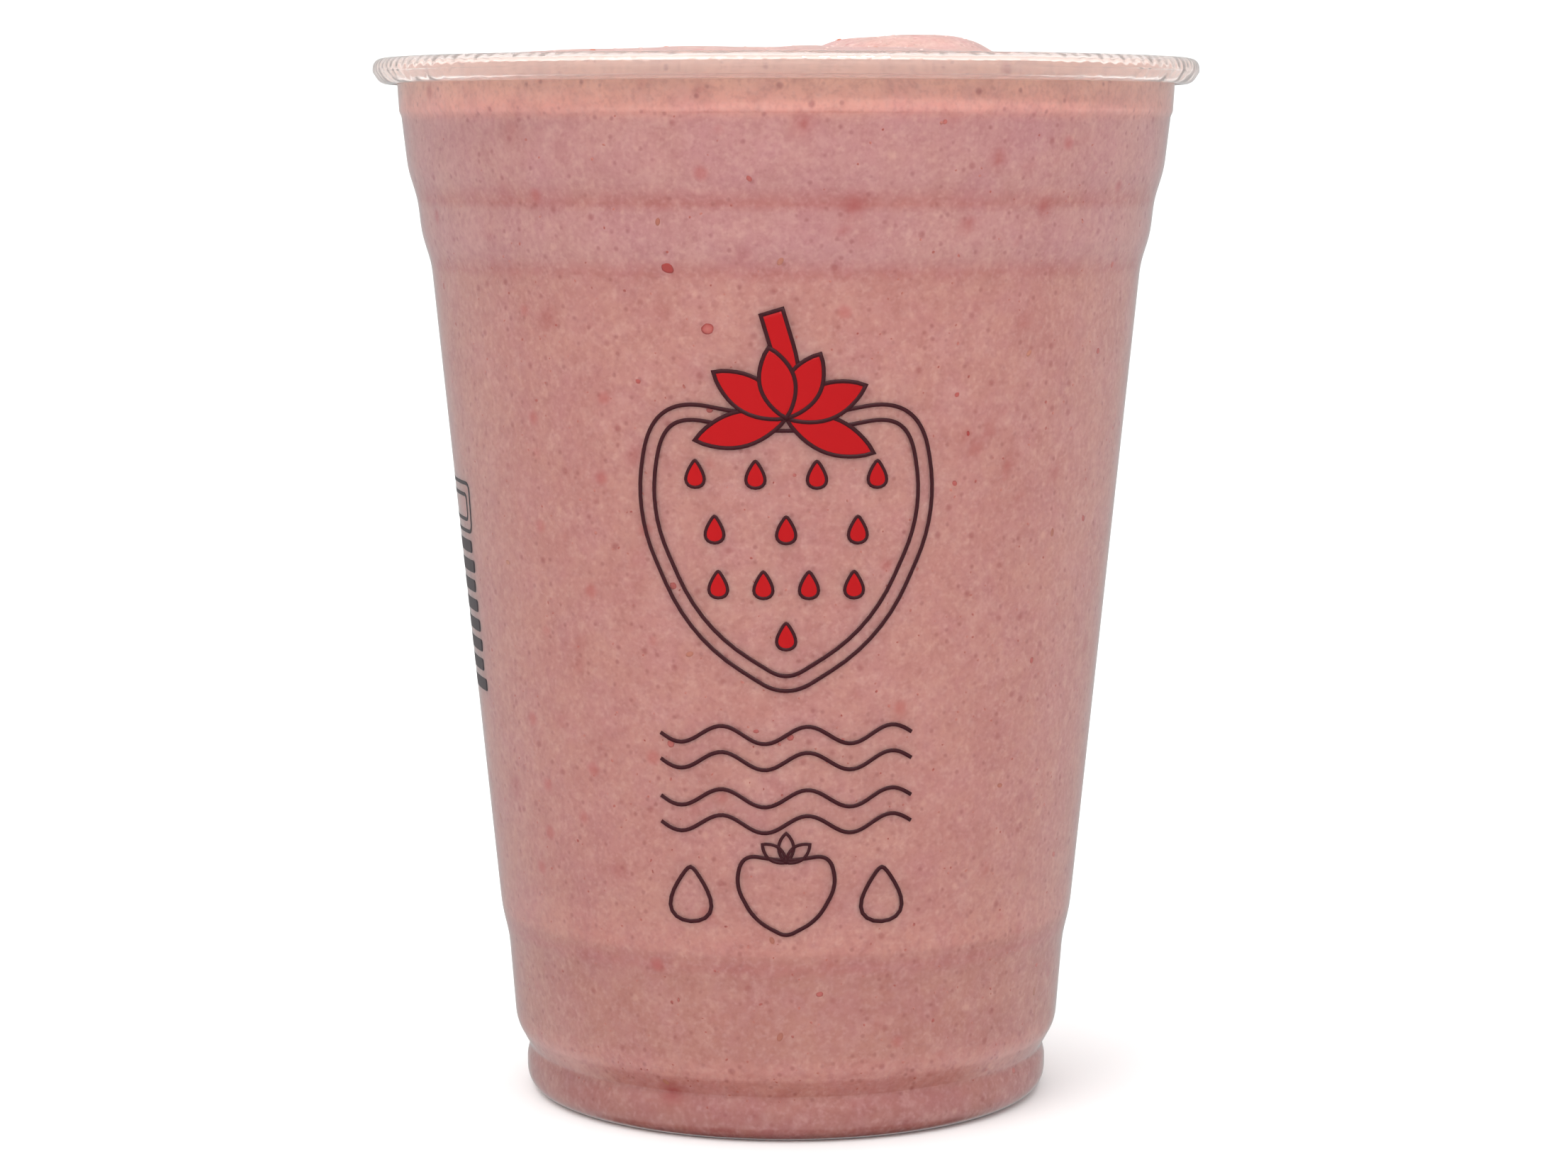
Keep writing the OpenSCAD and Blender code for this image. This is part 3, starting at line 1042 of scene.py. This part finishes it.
def add_print():
    """Line drawing on the front: a large strawberry with a red crown and stem, two bands of
    waves and a small strawberry between drops."""
    lines = []
    fields = []
    body = rounded(berry_corners(BERRY_W, BERRY_H), loop=True) + [0, BERRY_Z]
    lines += [ink_line(body, LINE_W, True), ink_line(beside(body, BERRY_EDGE, True),
                                                     LINE_W, True)]
    crown = [0, BERRY_Z + BERRY_H * 0.93]
    for layer, (turn, length) in enumerate(LEAVES, 1):
        shape = moved(leaf(length, 3.9), *crown, turn=turn)
        fields.append(ink_patch(shape, FIELD_OUT + layer * LAYER))
        lines.append(ink_line(shape, LINE_W, True, LINE_OUT + layer * LAYER))
    stem_line = rounded(np.array([[0, BERRY_Z + BERRY_H * 0.95, 0], [0.3, 89.5, 2.5],
                                  [-1.6, 95.8, 0]]))
    sides = [beside(stem_line, -STEM_W / 2), beside(stem_line, STEM_W / 2)[::-1]]
    stem = evened(np.concatenate([*sides, sides[0][:1]]), INK_STEP)[:-1]
    fields.append(ink_patch(stem))
    lines.append(ink_line(stem, LINE_W, True))
    for up, count, reach in SEED_ROWS:
        for across in np.linspace(-reach, reach, count):
            shape = moved(drop(3.0, 1.9), across, up)
            lines.append(ink_line(shape, LINE_W * 0.8, True))
            fields.append(ink_patch(shape))
    for up in WAVE_HEIGHTS:
        lines.append(ink_line(wave(-14.5, 14.5, up, 1.0, 9.7), LINE_W, False))
    small = rounded(berry_corners(11.5, 9.6), loop=True) + [0, SMALL_Z]
    lines.append(ink_line(small, LINE_W, True))
    for turn in [-52, 0, 52]:
        lines.append(ink_line(moved(leaf(3.4, 1.7), 0, 33.6, turn=turn), LINE_W * 0.8, True))
    for across in [-11.0, 11.0]:
        lines.append(ink_line(moved(drop(6.4, 4.4), across, 29.6), LINE_W, True))
    dark = plain_material("ink_dark", linear(56, 18, 24), 0.45, 0.12)
    red = plain_material("ink_red", linear(162, 8, 14), 0.4, 0.12)
    add_piece("print_lines", joined(lines), dark, smooth=False)
    add_piece("print_fields", joined(fields), red, smooth=False)


# Right edge of the side print in degrees, top of its box, box height, and its bars: middle
# height of the first one, step, thickness and how many
BAR_EDGE = -70.5
BOX_TOP = 74.5
BOX_H = 5.8
BOX_W = 20.0
BAR_TOP = 66.9
BAR_STEP = 2.35
BAR_H = 1.5
BAR_COUNT = 8


def bar_outline(left, right, low, high, corner):
    """A rectangle with rounded corners, its sides cut into short steps."""
    bar = np.array([[left, low, corner], [right, low, corner],
                    [right, high, corner], [left, high, corner]])
    return evened(rounded(bar, loop=True), 0.8)


def add_side_print():
    """A box and a column of plain rounded bars on the left side."""
    random = np.random.default_rng(SEED + 6)
    edge = math.radians(BAR_EDGE) * float(wall_radius(BAR_TOP))
    box = bar_outline(edge - BOX_W, edge, BOX_TOP - BOX_H, BOX_TOP, 1.2)
    shapes = [ink_line(box, LINE_W, True)]
    inner = bar_outline(edge - BOX_W + 2, edge - 1.4, BOX_TOP - BOX_H + 1.4, BOX_TOP - 1.4, 0.8)
    shapes.append(ink_line(inner, LINE_W, True))
    for row in range(BAR_COUNT):
        up = BAR_TOP - row * BAR_STEP
        right = math.radians(BAR_EDGE) * float(wall_radius(up)) - random.uniform(0, 0.8)
        width = random.uniform(14.0, 19.0)
        shapes.append(ink_patch(bar_outline(right - width, right, up - BAR_H / 2,
                                            up + BAR_H / 2, 0.5)))
    grey = plain_material("ink_grey", linear(50, 40, 43), 0.45, 0.2)
    add_piece("print_bars", joined(shapes), grey, smooth=False)


add_print()
add_side_print()


# ---------------------------------------------------------------- stage, light and camera

# Floor: radius of its flat part, radius and height of its edge
STAGE_FLAT_R = 1600.0
STAGE_WALL_R = 2200.0
STAGE_WALL_H = 1200.0


def add_stage():
    """A pale round floor whose edge curves up into a low wall on every side. The cup's gloss
    mirrors the soft studio around it and not the floor."""
    t = np.linspace(0, math.pi / 2, 24)
    curve = np.stack([STAGE_FLAT_R + (STAGE_WALL_R - STAGE_FLAT_R) * np.sin(t),
                      STAGE_WALL_H * (1 - np.cos(t))], axis=1)
    line = np.concatenate([[[60.0, 0.0], [300.0, 0.0], [800.0, 0.0]], curve])
    rings = turned(line[:, :1], spokes_of(96)[None, :], line[:, 1:])
    count, spokes = rings.shape[:2]
    points = np.concatenate([rings.reshape(-1, 3), [[0, 0, 0]]])
    quads = ring_faces(count, spokes)[:, ::-1]
    pole = pole_faces(count * spokes, 0, spokes, True)
    pale = plain_material("stage_pale", (0.95, 0.95, 0.95, 1), 0.9)
    floor = add_mesh("stage_floor", points, quads, pole, pale)
    floor.visible_glossy = False


def add_lamp(name, place, target, size, watts, colour):
    """A soft rectangular lamp at a place, facing a target, both in metres."""
    data = bpy.data.lights.new(name, "AREA")
    data.shape = "RECTANGLE"
    data.size, data.size_y = size
    data.energy = watts
    data.color = colour
    lamp = bpy.data.objects.new(name, data)
    lamp.location = place
    back = np.array(place) - np.array(target)
    lamp.rotation_euler = (math.atan2(math.hypot(back[0], back[1]), back[2]), 0,
                           math.atan2(back[1], back[0]) + math.pi / 2)
    bpy.context.scene.collection.objects.link(lamp)
    return lamp


# Strength of the studio's light level with the cup, overhead, more in front, and below
HORIZON_LIGHT = 0.4
OVERHEAD_LIGHT = 0.62
FRONT_LIGHT = 0.42
BELOW_LIGHT = 0.12


def add_light():
    """A white studio, bright overhead, softer in front and dim behind and below, with a soft
    key from the upper left, a wide lamp overhead and a small one for the rim's highlights.
    The studio's light is (over(z) + front(y)) above(z) + below, for a direction (x, y, z)."""
    world = bpy.data.worlds.new("studio")
    world.use_nodes = True
    tree = world.node_tree
    direction = add_node(tree, "ShaderNodeTexCoord").outputs["Generated"]
    parts = add_node(tree, "ShaderNodeSeparateXYZ", {0: direction})
    over = spread(tree, parts.outputs["Z"], 0.0, 0.5, HORIZON_LIGHT, OVERHEAD_LIGHT)
    front = spread(tree, parts.outputs["Y"], 0.4, 1.0, FRONT_LIGHT, 0.0)
    above = spread(tree, parts.outputs["Z"], -0.8, -0.62)
    light = math_node(tree, "ADD", over, front)
    light = math_node(tree, "MULTIPLY", light, above)
    light = math_node(tree, "ADD", light, BELOW_LIGHT)
    background = tree.nodes["Background"]
    background.inputs["Color"].default_value = (1.0, 1.0, 1.0, 1)
    tree.links.new(light, background.inputs["Strength"])
    bpy.context.scene.world = world
    middle = (0.0, 0.0, 0.07)
    add_lamp("key", (-0.55, -0.75, 0.75), middle, (0.6, 0.6), 3.6, (1.0, 0.985, 0.96))
    overhead = add_lamp("overhead", (-0.2, 0.0, 1.6), middle, (1.8, 1.8), 13.0,
                        (1.0, 1.0, 1.0))
    overhead.visible_glossy = False
    overhead.visible_transmission = False
    glint = add_lamp("glint", (0.28, -0.73, 0.85), middle, (0.16, 0.1), 7.0, (1.0, 1.0, 1.0))
    glint.visible_diffuse = False
    glint.visible_transmission = False


# Camera: place in metres, tilt from straight down in degrees, lens and sensor in millimetres
CAMERA_PLACE = (-0.00024, -0.465, 0.1145)
CAMERA_TILT = 83.39
CAMERA_LENS = 88.83
SENSOR_W = 36.0


def add_camera():
    """A level camera a little over the rim's height, looking slightly down at the cup."""
    data = bpy.data.cameras.new("camera")
    data.sensor_width = SENSOR_W
    data.lens = CAMERA_LENS
    data.clip_start = 0.01
    data.clip_end = 20
    camera = bpy.data.objects.new("camera", data)
    camera.location = CAMERA_PLACE
    camera.rotation_euler = (math.radians(CAMERA_TILT), 0, 0)
    bpy.context.scene.collection.objects.link(camera)
    bpy.context.scene.camera = camera


add_stage()
add_light()
add_camera()
bpy.context.scene.view_settings.view_transform = "Standard"
